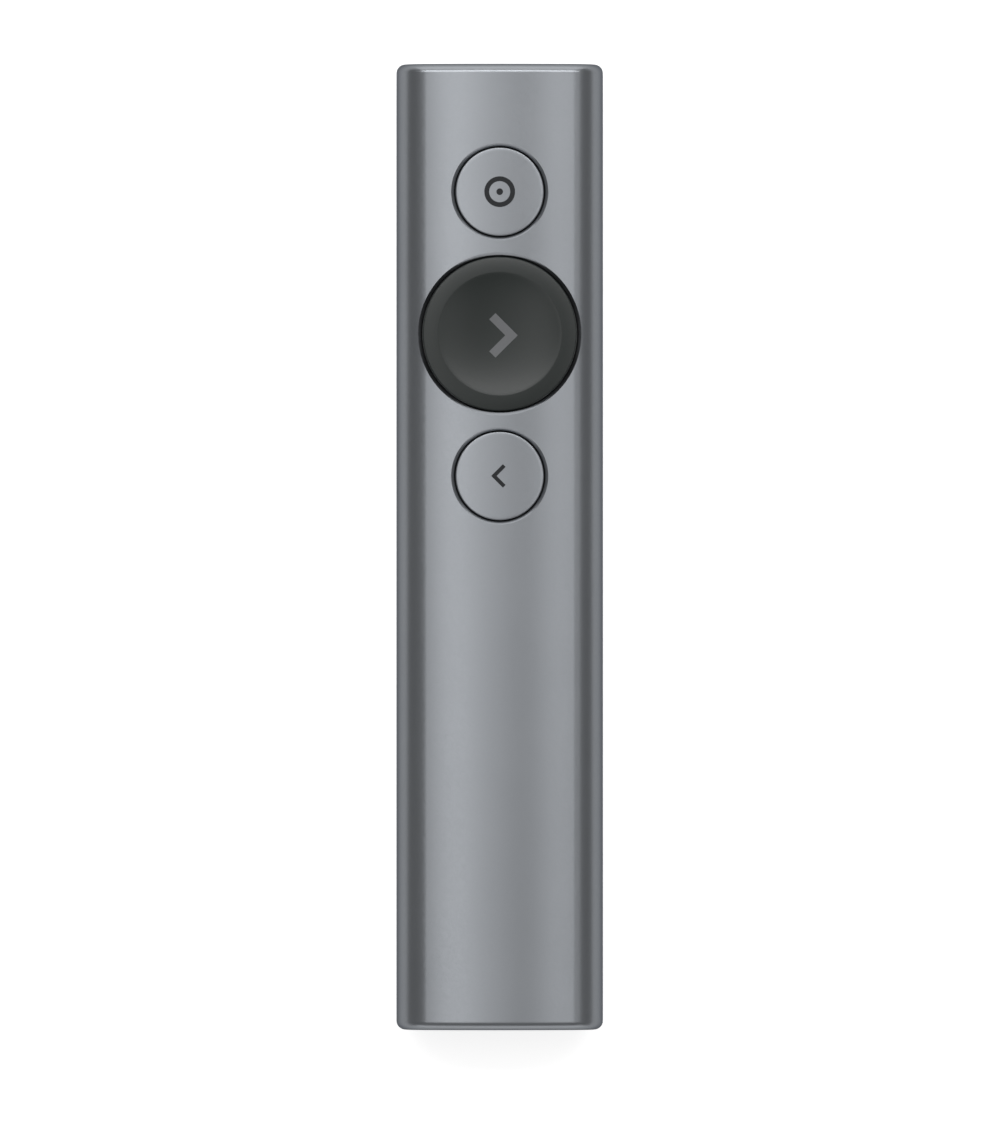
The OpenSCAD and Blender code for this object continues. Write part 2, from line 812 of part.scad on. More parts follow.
module chip_antenna() {
    color("#e9e4d2") chip(0, board_end_y - 2.6, [7, 2, 1.2]);
}

// ---- Receiver ----

cavity_w = receiver_w - 2 * housing_wall;
cavity_h = receiver_t - 2 * housing_wall;

module receiver_housing() {
    lip_y = housing_end_y - housing_lip;
    color("#2a2c2f") difference() {
        bar(receiver_w, receiver_t, receiver_corner_r, housing_y, housing_end_y);
        bar(cavity_w, cavity_h, plug_corner_r, housing_y - eps, lip_y);
        bar(plug_w + slip, plug_t + slip, plug_corner_r, lip_y - eps, housing_end_y + eps);
    }
}

module receiver_end_cap() {
    slot_x = (loop_l - loop_t) / 2;
    color("#2a2c2f") difference() {
        union() {
            bar(receiver_w, receiver_t, receiver_corner_r, receiver_y, housing_y);
            bar(cavity_w - 2 * slip, cavity_h - 2 * slip, plug_corner_r,
                housing_y - eps, housing_y + end_cap_spigot);
        }
        bar(loop_l + loose, loop_recess_h, plug_corner_r, receiver_y - eps, receiver_y + loop_recess);
        for (side = [-1, 1])
            box(side * slot_x, receiver_y, z_mid - loop_w / 2 - slip,
                [loop_t + 2 * slip, loop_leg + loose, loop_w + 2 * slip]);
    }
}

module receiver_pull_loop() {
    loop_y = receiver_y + slip;
    color("#1f2022") difference() {
        box(0, loop_y, z_mid - loop_w / 2, [loop_l, loop_leg, loop_w]);
        box(0, loop_y + loop_t, z_mid - loop_w / 2 - eps,
            [loop_l - 2 * loop_t, loop_leg, loop_w + 2 * eps]);
    }
}

module receiver_board() {
    color("#1f4a35")
        box(0, receiver_board_y, z_mid - receiver_board_t,
            [cavity_w - 2 * slip, plug_root_y - slip - receiver_board_y, receiver_board_t]);
}

module receiver_chip() {
    color("#17181a")
        box(0, receiver_board_y + receiver_chip_w, z_mid, [receiver_chip_w, receiver_chip_w, 0.9]);
}

module receiver_plug_shell() {
    color("#c9ccce") difference() {
        bar(plug_w, plug_t, plug_corner_r, plug_root_y, receiver_tip_y);
        bar(plug_w - 2 * plug_sheet, plug_t - 2 * plug_sheet, plug_corner_r / 2,
            plug_root_y - eps, receiver_tip_y + eps);
        for (side = [-1, 1])
            box(side * plug_window_x, plug_window_y, z_mid - plug_t / 2 - eps,
                [plug_window, plug_window, plug_t + 2 * eps]);
    }
}

module receiver_plug_tongue() {
    color("#e9e7e0") {
        box(0, plug_root_y, plug_tongue_z,
            [plug_tongue_w, receiver_tip_y - plug_tongue_sink - plug_root_y, plug_tongue_t]);
        box(0, plug_root_y, plug_tongue_z,
            [plug_tongue_w, plug_block_l, plug_t - 2 * plug_sheet - slip]);
    }
}

module receiver_contacts() {
    color("#d8b04a") for (i = [-1.5 : 1 : 1.5])
        box(i * contact_pitch, plug_root_y + plug_block_l, plug_tongue_z + plug_tongue_t,
            [contact_w, contact_l, contact_t]);
}

body_tube();
nose_cap();
nose_plug();
nose_screws();
tail_bezel();
bay_sleeve();
bay_springs();
chassis_tray();
main_board();
button_frame();
tray_screws(frame_screw_at, plate_top - head_t);  // frame_screws
tray_screws(board_screw_at, board_top + lug_t);  // board_screws
switch_bases();
switch_covers();
snap_dome(pointer_y);  // pointer_dome
snap_dome(next_y);  // next_dome
snap_dome(back_y);  // back_dome
battery_cell();
battery_circuit();
battery_tape();
battery_leads();
battery_plug();
battery_socket();
motor_can();
motor_boot();
motor_leads();
motor_shaft();
motor_weight();
charge_port_shell();
charge_port_tongue();
radio_chip();
clock_crystal();
motion_sensor();
charger_chip();
chip_antenna();
receiver_housing();
receiver_end_cap();
receiver_pull_loop();
receiver_board();
receiver_chip();
receiver_plug_shell();
receiver_plug_tongue();
receiver_contacts();
small_face(pointer_y);  // pointer_face
small_core(pointer_y);  // pointer_core
plunger(pointer_y);  // pointer_plunger
next_face();
next_core();
plunger(next_y);  // next_plunger
small_face(back_y);  // back_face
small_core(back_y);  // back_core
plunger(back_y);  // back_plunger
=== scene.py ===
import json
from math import acos, asin, pi, radians, sqrt, tan

import bmesh
import bpy
from bpy.props import FloatProperty, FloatVectorProperty, PointerProperty
from mathutils import Matrix, Vector


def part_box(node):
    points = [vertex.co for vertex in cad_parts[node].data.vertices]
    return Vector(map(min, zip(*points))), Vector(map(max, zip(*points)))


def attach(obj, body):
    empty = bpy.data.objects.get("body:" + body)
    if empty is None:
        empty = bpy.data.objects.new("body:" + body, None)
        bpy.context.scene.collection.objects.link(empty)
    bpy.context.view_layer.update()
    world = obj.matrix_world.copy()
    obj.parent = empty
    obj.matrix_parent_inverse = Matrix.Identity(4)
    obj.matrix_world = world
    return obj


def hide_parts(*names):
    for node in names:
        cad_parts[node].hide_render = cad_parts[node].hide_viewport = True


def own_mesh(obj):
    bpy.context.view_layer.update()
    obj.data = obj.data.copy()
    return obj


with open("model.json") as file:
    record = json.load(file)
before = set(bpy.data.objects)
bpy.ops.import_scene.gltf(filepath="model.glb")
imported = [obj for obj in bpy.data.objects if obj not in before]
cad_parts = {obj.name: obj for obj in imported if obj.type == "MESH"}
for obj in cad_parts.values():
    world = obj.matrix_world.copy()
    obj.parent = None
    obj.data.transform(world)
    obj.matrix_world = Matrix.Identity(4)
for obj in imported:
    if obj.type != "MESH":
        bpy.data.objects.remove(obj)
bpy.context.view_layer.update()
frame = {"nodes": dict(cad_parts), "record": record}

bl_info = {
    "name": "Presentation clicker",
    "version": (1, 0, 0),
    "blender": (4, 5, 0),
    "location": "View3D > Sidebar > Clicker",
    "description": "Outer pieces, finishes and stage of a slim tube clicker",
    "category": "Object",
}

MM = 0.001
SAME = 0.001 * MM  # points this close count as one
SHARP = 35  # degrees between two faces from which their edge shows as sharp
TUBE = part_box("body_tube")
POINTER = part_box("pointer_face")
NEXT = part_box("next_face")
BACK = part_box("back_face")
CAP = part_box("receiver_end_cap")
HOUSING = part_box("receiver_housing")
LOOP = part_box("receiver_pull_loop")
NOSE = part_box("nose_cap")
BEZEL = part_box("tail_bezel")


def linear(code):
    """Turn an sRGB hex colour into linear red, green, blue and alpha."""
    parts = [int(code[i:i + 2], 16) / 255 for i in (1, 3, 5)]
    return [p / 12.92 if p <= 0.04045 else ((p + 0.055) / 1.055) ** 2.4 for p in parts] + [1.0]


def length(name, description, default):
    """Declare a size in metres, given in millimetres."""
    return FloatProperty(name=name, description=description, default=default * MM, min=0.0,
                         precision=5, subtype="DISTANCE", unit="LENGTH")


def slope(name, description, default):
    """Declare a slope in radians, given in degrees."""
    return FloatProperty(name=name, description=description, default=radians(default),
                         subtype="ANGLE", unit="ROTATION")


def colour(name, description, code):
    """Declare a colour, given as sRGB hex."""
    return FloatVectorProperty(name=name, description=description, default=linear(code),
                               size=4, min=0.0, max=1.0, subtype="COLOR")


class ClickerSizes(bpy.types.PropertyGroup):
    """Sizes of the outer pieces that the frame's boxes don't give."""

    side_radius: length("Side radius", "Radius of the tube's two sides", 5.2)
    back_sink: length("Back cut", "How much the flat takes off the back's crown", 0.15)
    wall: length("Wall", "Thickness of the tube's wall", 1.3)
    end_radius: length("End radius", "Rounding of the tube's ends", 1.2)
    small_hole: length("Small hole", "Radius of the small keys' holes", 6.2)
    next_hole: length("Large hole", "Radius of the large key's hole", 10.7)
    hole_bevel: length("Hole bevel", "Width of the bevel cut on the holes' edges", 0.4)
    bevel_slope: slope("Bevel slope", "Fall of the holes' bevel", 40)
    key_round: length("Key rounding", "Rounding of the small keys' edges", 0.15)
    dish_radius: length("Dish radius", "Radius of the large key's dish in plan", 8.4)
    dish_depth: length("Dish depth", "Depth of the large key's dish", 0.9)
    rim_round: length("Rim rounding", "Rounding of the large key's outer edge", 0.2)
    rim_slope: slope("Rim slope", "Fall of the large key's rim", 5)
    ink: length("Ink", "Height of the printed symbols", 0.02)
    cover_inset: length("Cover inset", "From the tube's skin to its end covers", 1.35)
    cover_depth: length("Nose cover", "Thickness of the nose cap", 1.2)
    bezel_depth: length("Bezel", "Thickness of the tail bezel", 1.6)
    opening_width: length("Opening width", "Width of the bezel's opening", 16.2)
    opening_height: length("Opening height", "Height of the bezel's opening", 6.6)
    opening_corner: length("Opening corner", "Corner radius of the bezel's opening", 1.2)
    stick_corner: length("Receiver corner", "Corner radius of the receiver", 1.0)
    stick_wall: length("Receiver wall", "Thickness of the receiver's housing", 0.8)
    recess_height: length("Recess height", "Height of the recess round the pull loop", 4.8)
    recess_depth: length("Recess", "Depth of the recess that the pull loop lies in", 1.9)
    plug_gap: length("Plug gap", "Slip fit of the plug in the housing", 0.05)
    edge_round: length("Edge rounding", "Rounding of the moulded edges", 0.25)


class ClickerColours(bpy.types.PropertyGroup):
    """Colours of the outer pieces."""

    anodised: colour("Tube", "Dyed oxide of the tube and small keys", "#8b8e92")
    anodised_deep: colour("Tube, deep", "Where the dye took deeper", "#86898d")
    large_key: colour("Large key", "Satin plastic of the large key", "#0d1412")
    light_ink: colour("Light ink", "Symbol on the large key", "#68696b")
    dark_ink: colour("Dark ink", "Symbols on the small keys", "#1b1d20")
    trim: colour("Trim", "Plastic of the nose cap, bezel and receiver", "#3b3d40")
    webbing: colour("Webbing", "Yarn of the pull loop", "#2a2b2d")
    floor: colour("Floor", "Paper under the clicker", "#c8c8c8")


# Shapes

def sizes():
    """Give the sizes with the arcs that follow from them."""
    s = bpy.context.scene.clicker_sizes
    half_w = (TUBE[1][0] - TUBE[0][0]) / 2
    tall = TUBE[1][2] - TUBE[0][2]
    half_t = (tall + s.back_sink) / 2
    side_x = half_w - s.side_radius
    crown = (side_x ** 2 + half_t ** 2 - s.side_radius ** 2) / (2 * (half_t - s.side_radius))
    return s, (tall - s.back_sink) / 2, half_t, side_x, crown


def front_fall(x):
    """Give how far the tube's front lies below its crown at x."""
    s, _, half_t, side_x, crown = sizes()
    x = abs(x)
    if x < crown * side_x / (crown - s.side_radius):
        return crown - sqrt(crown ** 2 - x ** 2)
    return half_t - sqrt(max(s.side_radius ** 2 - (x - side_x) ** 2, 0.0))


def skin_normal(point):
    """Give the tube's own normal for a point on its skin, and none elsewhere."""
    s, mid, half_t, side_x, crown = sizes()
    up = 1 if point.z > mid else -1
    reach = Vector((point.x, 0, point.z - mid + up * (crown - half_t)))
    radius = crown
    if abs(point.x) > crown * side_x / (crown - s.side_radius):
        reach = Vector((point.x - (side_x if point.x > 0 else -side_x), 0, point.z - mid))
        radius = s.side_radius
    on_skin = abs(reach.length - radius) < 4 * SAME
    past_ends = abs(point.y) > TUBE[1][1] - s.end_radius + 10 * SAME
    return reach.normalized() if on_skin and not past_ends else Vector((0, 0, 0))


def middle(box):
    """Give the y of a key's axis."""
    return (box[0][1] + box[1][1]) / 2


def bow(half_width, rise):
    """Give the radius of an arc that rises this much over this half width."""
    return (half_width ** 2 + rise ** 2) / (2 * rise)


def at_level(axis, place):
    """Give a test for points that lie at one place along an axis."""
    return lambda point: abs(point["XYZ".index(axis)] - place) < SAME


def at_rim(y, z, radius):
    """Give a test for points on the rim of a round face at y."""
    return lambda point: (abs(point.z - z) < SAME and
                          Vector((point.x, point.y - y)).length > radius - SAME)


def points(geometry):
    """Give the vertices among what an operator made."""
    return [v for v in geometry if isinstance(v, bmesh.types.BMVert)]


def follow_front(bm, above=0.0):
    """Lower what lies above a height, so that it follows the tube's crowned front."""
    for v in bm.verts:
        if v.co.z > above:
            v.co.z -= front_fall(v.co.x)


def mirror(bm, axis):
    """Mirror a half and join the two."""
    bmesh.ops.mirror(bm, geom=bm.verts[:] + bm.edges[:] + bm.faces[:], axis=axis,
                     merge_dist=SAME)
    bmesh.ops.remove_doubles(bm, verts=bm.verts, dist=SAME)


def oval(bm, y, inset=0.0):
    """Spin the tube's section at y as a closed wire, inset from its skin."""
    s, mid, half_t, side_x, crown = sizes()
    drop = crown - half_t
    lean = asin(side_x / (crown - s.side_radius))
    flat = acos((mid + drop - inset) / (crown - inset))
    front = ((0, y, mid - drop), lean, 44)
    side = ((side_x, y, mid), pi - 2 * lean, 60)
    back = ((0, y, mid + drop), lean - flat, 12)
    end = bm.verts.new((0, y, mid + half_t - inset))
    for centre, angle, steps in (front, side, back):
        arc = bmesh.ops.spin(bm, geom=[end], cent=centre, axis=(0, 1, 0), angle=angle,
                             steps=steps)
        end = points(arc["geom_last"])[0]
    foot = bmesh.ops.extrude_vert_indiv(bm, verts=[end])["verts"][0]
    foot.co.x = 0
    mirror(bm, "X")


def whirl(bm, geometry, y, steps):
    """Spin a profile into a closed solid about an upright axis at y."""
    bmesh.ops.spin(bm, geom=geometry, cent=(0, y, 0), axis=(0, 0, 1), angle=2 * pi,
                   steps=steps, use_merge=True)
    bmesh.ops.remove_doubles(bm, verts=bm.verts, dist=SAME)
    bmesh.ops.recalc_face_normals(bm, faces=bm.faces)


def turn(bm, profile, y, steps=128):
    """Turn a profile of radii and heights at y, as on a lathe."""
    verts = [bm.verts.new((r, y, z)) for r, z in profile]
    edges = [bm.edges.new(pair) for pair in zip(verts, verts[1:])]
    whirl(bm, verts + edges, y, steps)


def slab(bm, width, height, corner, y):
    """Make a flat face with rounded corners, square to the tube."""
    made = bmesh.ops.create_grid(bm, x_segments=1, y_segments=1, size=0.5)["verts"]
    bmesh.ops.scale(bm, verts=made, vec=(width, height, 1))
    bmesh.ops.rotate(bm, verts=made, matrix=Matrix.Rotation(pi / 2, 3, "X"))
    bmesh.ops.translate(bm, verts=made, vec=(0, y, sizes()[1]))
    bmesh.ops.bevel(bm, geom=made, offset=corner, segments=8, profile=0.5,
                    affect="VERTICES", material=-1)
    return bm.faces[:][-1]


def pocket(bm, face, rim, squeeze, depth):
    """Inset a face, draw its two ends in and sink it; give the face at the bottom."""
    bmesh.ops.inset_region(bm, faces=[face], thickness=rim, use_even_offset=True,
                           use_boundary=True)
    for v in face.verts:
        v.co.x -= squeeze if v.co.x > 0 else -squeeze
    floor = bmesh.ops.extrude_discrete_faces(bm, faces=[face])["faces"][0]
    bmesh.ops.translate(bm, verts=floor.verts, vec=(0, depth, 0))
    return floor


def draw_out(bm, edges, reach):
    """Extrude some edges along a vector; give the open edges at the far end."""
    wall = bmesh.ops.extrude_edge_only(bm, edges=edges)["geom"]
    bmesh.ops.translate(bm, verts=points(wall), vec=reach)
    return [e for e in wall if isinstance(e, bmesh.types.BMEdge) and e.is_boundary]


def block(bm, low, high):
    """Make a box between two corners."""
    made = bmesh.ops.create_cube(bm, size=1.0)["verts"]
    bmesh.ops.scale(bm, verts=made, vec=Vector(high) - Vector(low))
    bmesh.ops.translate(bm, verts=made, vec=(Vector(high) + Vector(low)) / 2)


def round_edges(bm, test, radius, segments=4, least=0.2):
    """Bevel edges whose two ends pass a test and that turn by at least so many radians."""
    edges = [e for e in bm.edges if e.is_manifold and e.calc_face_angle() > least
             and all(test(v.co) for v in e.verts)]
    bmesh.ops.bevel(bm, geom=edges, offset=radius, segments=segments, profile=0.5,
                    affect="EDGES", material=-1)


def piece(bm, name, body, material, slot, *nodes, sharp=SHARP):
    """Make a finished object that rides on a body and stands for CAD nodes."""
    mesh = bpy.data.meshes.new(name)
    bm.to_mesh(mesh)
    bm.free()
    mesh.shade_smooth()
    mesh.set_sharp_from_angle(angle=radians(sharp))
    obj = bpy.data.objects.new(name, mesh)
    bpy.context.collection.objects.link(obj)
    mesh.materials.append(material)
    if body:
        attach(obj, body)
        if nodes:
            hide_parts(*nodes)
    return obj


# Finishes

def per_metre(size):
    """Give the texture scale of a pattern whose size is in millimetres."""
    return 1000 / size


def shade(tint, factor):
    """Give a colour made darker or lighter by a factor."""
    return [v * factor for v in tint[:3]] + [1.0]


def node(tree, kind, settings=None, inputs=None):
    """Add a node with its settings and its inputs: values, or sockets to link."""
    made = tree.nodes.new("ShaderNode" + kind)
    for name, value in (settings or {}).items():
        setattr(made, name, value)
    for name, value in (inputs or {}).items():
        if isinstance(value, bpy.types.NodeSocket):
            tree.links.new(value, made.inputs[name])
        else:
            made.inputs[name].default_value = value
    return made


def surface(name, inputs):
    """Start a material: give its tree, its Principled node and its Object coordinates."""
    made = bpy.data.materials.get(name)
    if made:
        return made, None, None, None
    made = bpy.data.materials.new(name)
    made.use_nodes = True
    tree = made.node_tree
    tree.nodes.clear()
    shader = node(tree, "BsdfPrincipled", inputs=inputs)
    node(tree, "OutputMaterial", inputs={"Surface": shader.outputs[0]})
    made.diffuse_color = inputs["Base Color"]
    return made, tree, shader, node(tree, "TexCoord").outputs["Object"]


def grained(name, base, other, rough, grain, relief, inputs=None, patch=9.0):
    """A surface with two mixed tints, a fine grain in millimetres and its relief."""
    made, tree, shader, where = surface(name, {"Base Color": base, **(inputs or {})})
    if not tree:
        return made
    drift = node(tree, "TexNoise", inputs={"Vector": where, "Scale": per_metre(patch),
                                           "Detail": 2.0})
    grit = node(tree, "TexNoise", inputs={"Vector": where, "Scale": per_metre(grain),
                                          "Detail": 2.0})
    grit_share = 0.35
    both = node(tree, "Math", {"operation": "MULTIPLY_ADD"},
                {0: grit.outputs[0], 1: grit_share, 2: drift.outputs[0]})
    tint = node(tree, "Mix", {"data_type": "RGBA"}, {0: both.outputs[0], 6: base, 7: other})
    gloss = node(tree, "MapRange",
                 inputs={"Value": grit.outputs[0], "From Min": 0.3, "From Max": 0.7,
                         "To Min": rough[0], "To Max": rough[1]})
    bump = node(tree, "Bump", inputs={"Strength": 1.0, "Distance": relief * MM,
                                      "Height": grit.outputs[0]})
    tree.links.new(tint.outputs[2], shader.inputs["Base Color"])
    tree.links.new(gloss.outputs[0], shader.inputs["Roughness"])
    tree.links.new(bump.outputs[0], shader.inputs["Normal"])
    return made


def drawn(name, base, rough, pitch, relief):
    """A metal with fine lines along the body, at a pitch in millimetres."""
    made, tree, shader, where = surface(name, {"Base Color": base, "Metallic": 1.0})
    if not tree:
        return made
    # The lines are 25 times as long as their pitch, and vary over patches of 2.5 mm.
    along = node(tree, "Mapping", inputs={"Vector": where, "Scale": (1.0, 1 / 25, 1.0)})
    lines = node(tree, "TexNoise", inputs={"Vector": along.outputs[0],
                                           "Scale": per_metre(pitch), "Detail": 3.0})
    smear = node(tree, "TexNoise", inputs={"Vector": where, "Scale": per_metre(2.5),
                                           "Detail": 2.0})
    smear_share = 0.6
    mixed = node(tree, "Math", {"operation": "MULTIPLY_ADD"},
                 {0: smear.outputs[0], 1: smear_share, 2: lines.outputs[0]})
    gloss = node(tree, "MapRange",
                 inputs={"Value": mixed.outputs[0], "From Min": 0.4, "From Max": 1.2,
                         "To Min": rough[0], "To Max": rough[1]})
    bump = node(tree, "Bump", inputs={"Strength": 1.0, "Distance": relief * MM,
                                      "Height": lines.outputs[0]})
    tree.links.new(gloss.outputs[0], shader.inputs["Roughness"])
    tree.links.new(bump.outputs[0], shader.inputs["Normal"])
    return made


def anodised():
    """Anodised aluminium, bead-blasted and then dyed in the bath."""
    # Glass beads leave dimples of 0.05 mm, drawn at 0.3 mm to show. They spread the
    # reflections into soft bands, and the dye takes a little deeper in places.
    c = bpy.context.scene.clicker_colours
    return grained("anodised_aluminium_blasted", c.anodised[:], c.anodised_deep[:], (0.28, 0.34),
                   0.3, 0.0006, {"Metallic": 1.0, "Specular Tint": linear("#9a9ca0")}, patch=14.0)


def satin_abs():
    """ABS moulded against a vapour-blasted tool."""
    # A satin skin of 0.1 mm grain, drawn at 0.25 mm, holds broad soft highlights.
    c = bpy.context.scene.clicker_colours.large_key[:]
    return grained("abs_satin_moulded", c, shade(c, 1.2), (0.3, 0.34), 0.25, 0.0005,
                   {"Specular IOR Level": 0.42})


def trim_abs():
    """ABS moulded against a spark-eroded tool."""
    # The eroded texture of 0.22 mm breaks the highlights up, so the trim looks matt.
    c = bpy.context.scene.clicker_colours.trim[:]
    return grained("abs_spark_texture", c, shade(c, 0.8), (0.46, 0.58), 0.22, 0.004)


def pad_ink(name, tint):
    """Pad-printed ink, cured on the part."""
    # A thin even film: matt, with the pad's faint mottle of 0.2 mm.
    return grained(name, tint, shade(tint, 0.85), (0.5, 0.6), 0.2, 0.001,
                   {"Specular IOR Level": 0.25})


def stainless():
    """Stainless steel strip, rolled and stamped."""
    # Rolling leaves fine lines of 0.02 mm along the strip, drawn at 0.12 mm to show.
    return drawn("stainless_steel_rolled", linear("#bfc0c0"), (0.2, 0.34), 0.12, 0.0008)


def woven_nylon():
    """Nylon yarn of 0.25 mm woven into narrow webbing."""
    # Warp and weft pass over each other in turn, which gives a small checked relief
    # with a faint sheen on the crowns of the yarns. The hollows between the crowns are painted
    # darker, as painted shade.
    c = bpy.context.scene.clicker_colours.webbing[:]
    made, tree, shader, _ = surface("nylon_webbing_woven",
                                    {"Base Color": c, "Roughness": 0.7, "Sheen Weight": 0.3,
                                     "Sheen Roughness": 0.5})
    if not tree:
        return made
    uv = node(tree, "UVMap", {"uv_map": "weave"}).outputs[0]
    yarn, relief = 0.25 * MM, 0.06 * MM
    # A wave texture's bands lie 2 pi / 20 / scale apart.
    warp, weft = [node(tree, "TexWave", {"bands_direction": direction},
                       {"Vector": uv, "Scale": 2 * pi / 20 / yarn, "Distortion": 0.4,
                        "Detail": 1.0}).outputs["Fac"] for direction in ("X", "Y")]
    over = node(tree, "TexChecker", inputs={"Vector": uv, "Scale": 1 / yarn}).outputs["Fac"]
    crown = node(tree, "Mix", {"data_type": "FLOAT"}, {0: over, 2: warp, 3: weft})
    # Painted shade: the tint falls to 35 % of the yarn's colour in the hollows between the crowns.
    tint = node(tree, "Mix", {"data_type": "RGBA"},
                {0: crown.outputs[0], 6: shade(c, 0.35), 7: c})
    bump = node(tree, "Bump", inputs={"Strength": 1.0, "Distance": relief,
                                      "Height": crown.outputs[0]})
    tree.links.new(tint.outputs[2], shader.inputs["Base Color"])
    tree.links.new(bump.outputs[0], shader.inputs["Normal"])
    return made


def solder_mask():
    """Glass-fibre board under green solder mask."""
    # The glossy lacquer shows the copper lines of 0.4 mm under it as paler green.
    made, tree, shader, where = surface("fibreglass_green_mask",
                                        {"Base Color": linear("#0f4a34"), "Coat Weight": 0.3})
    if not tree:
        return made
    # The copper lines are twice the mortar's size over the scale, 2 x 0.03 / 160 m wide.
    lines = node(tree, "TexBrick", {"offset": 0.5, "squash": 1.6, "squash_frequency": 3},
                 {"Vector": where, "Scale": 160.0, "Mortar Size": 0.03,
                  "Color1": linear("#0d4330"), "Color2": linear("#104b36"),
                  "Mortar": linear("#14553d")})
    weave = node(tree, "TexNoise", inputs={"Vector": where, "Scale": per_metre(0.4),
                                           "Detail": 2.0})
    gloss = node(tree, "MapRange", inputs={"Value": weave.outputs[0], "To Min": 0.2,
                                           "To Max": 0.42})
    bump = node(tree, "Bump", inputs={"Strength": 1.0, "Distance": 0.012 * MM,
                                      "Height": lines.outputs["Fac"]})
    tree.links.new(lines.outputs["Color"], shader.inputs["Base Color"])
    tree.links.new(gloss.outputs[0], shader.inputs["Roughness"])
    tree.links.new(bump.outputs[0], shader.inputs["Normal"])
    return made


# Pieces

class CLICKER_OT_tube(bpy.types.Operator):
    """Build the tube with its rounded ends and its three holes"""

    bl_idname = "clicker.tube"
    bl_label = "Tube"

    def cut_hole(self, context, tube, y, hole):
        """Cut a round hole, with a bevel on its edge that follows the crown."""
        s, mid, half_t, _, _ = sizes()
        top = mid + half_t
        outer, rise = hole + s.hole_bevel, tan(s.bevel_slope)
        # The bevel's slope runs on a little past the skin, and then on to a clear top.
        lip, clear = 0.05 * MM, 1 * MM
        bm = bmesh.new()
        turn(bm, [(0, mid), (hole, mid), (hole, top - s.hole_bevel * rise),
                  (outer + lip, top + lip * rise), (outer + clear, top + clear * rise),
                  (0, top + clear * rise)], y, steps=160)
        follow_front(bm, above=mid + clear)
        cutter = bpy.data.meshes.new("cutter")
        bm.to_mesh(cutter)
        bm.free()
        tool = bpy.data.objects.new("cutter", cutter)
        context.collection.objects.link(tool)
        cut = tube.modifiers.new("hole", "BOOLEAN")
        cut.operation, cut.solver, cut.object = "DIFFERENCE", "EXACT", tool
        context.view_layer.update()
        old = tube.data
        tube.data = bpy.data.meshes.new_from_object(
            tube.evaluated_get(context.evaluated_depsgraph_get()))
        tube.modifiers.clear()
        tube.data.name = "tube"
        bpy.data.objects.remove(tool)
        bpy.data.meshes.remove(cutter)
        bpy.data.meshes.remove(old)

    def execute(self, context):
        s, mid, _, _, _ = sizes()
        bm = bmesh.new()
        oval(bm, TUBE[0][1])
        draw_out(bm, bm.edges[:], (0, TUBE[1][1] - TUBE[0][1], 0))
        bmesh.ops.recalc_face_normals(bm, faces=bm.faces)
        first = bm.faces[0]
        if first.normal.dot(first.calc_center_median() - Vector((0, 0, mid))) < 0:
            bmesh.ops.reverse_faces(bm, faces=bm.faces)
        ends = [e for e in bm.edges if e.is_boundary]
        bmesh.ops.solidify(bm, geom=bm.faces[:], thickness=s.wall)
        bmesh.ops.bevel(bm, geom=ends, offset=s.end_radius, segments=8, profile=0.5,
                        affect="EDGES", material=-1)
        tube = piece(bm, "tube", "shell", anodised(), "anodised_tube", "body_tube")
        for box, hole in ((POINTER, s.small_hole), (NEXT, s.next_hole), (BACK, s.small_hole)):
            self.cut_hole(context, tube, middle(box), hole)
        tube.data.shade_smooth()
        tube.data.set_sharp_from_angle(angle=radians(SHARP))

        # Corners of faces that lie on the skin take its exact normals, so that the thin
        # faces which the cuts leave round the holes shade as one surface.
        alike = 0.9  # least cosine between such a face's normal and the skin's
        normals = []
        for face in tube.data.polygons:
            for index in face.vertices:
                own = skin_normal(tube.data.vertices[index].co)
                normals.append(own if own.dot(face.normal) > alike else Vector((0, 0, 0)))
        tube.data.normals_split_custom_set(normals)
        return {"FINISHED"}


class CLICKER_OT_small_keys(bpy.types.Operator):
    """Build the two small keys, which follow the tube's crown"""

    bl_idname = "clicker.small_keys"
    bl_label = "Small keys"

    def execute(self, context):
        s = sizes()[0]
        rings = 12
        for name, box in (("pointer", POINTER), ("back", BACK)):
            radius = (box[1][0] - box[0][0]) / 2
            low, top = box[0][2], box[1][2]
            bm = bmesh.new()
            face = [(radius * i / rings, top) for i in range(rings + 1)]
            turn(bm, face + [(radius, low), (0, low)], middle(box))
            round_edges(bm, at_rim(middle(box), top, radius), s.key_round, segments=5)
            follow_front(bm, above=(low + top) / 2)
            piece(bm, name + "_key", name + "_button", anodised(), "anodised_tube", name + "_face")
        return {"FINISHED"}


class CLICKER_OT_large_key(bpy.types.Operator):
    """Build the large key with its dish and its sloping rim"""

    bl_idname = "clicker.large_key"
    bl_label = "Large key"

    def execute(self, context):
        s = sizes()[0]
        y = middle(NEXT)
        radius = (NEXT[1][0] - NEXT[0][0]) / 2
        low, top = NEXT[0][2], NEXT[1][2]
        bowl = bow(s.dish_radius, s.dish_depth)
        bm = bmesh.new()
        foot = bm.verts.new((0, y, top - s.dish_depth))
        arc = bmesh.ops.spin(bm, geom=[foot], cent=(0, y, foot.co.z + bowl), axis=(0, 1, 0),
                             angle=-asin(s.dish_radius / bowl), steps=20)
        last = points(arc["geom_last"])[0]
        edge = top - (radius - s.dish_radius) * tan(s.rim_slope)
        for x, z in ((radius, edge), (radius, low), (0, low)):
            new = bm.verts.new((x, y, z))
            bm.edges.new((last, new))
            last = new
        whirl(bm, bm.verts[:] + bm.edges[:], y, steps=192)
        round_edges(bm, at_rim(y, edge, radius), s.rim_round, segments=6)
        dish_edge = 0.06 * MM
        round_edges(bm, at_level("Z", top), dish_edge, segments=2)
        piece(bm, "next_key", "next_button", satin_abs(), "key_plastic", "next_face", sharp=50)
        return {"FINISHED"}


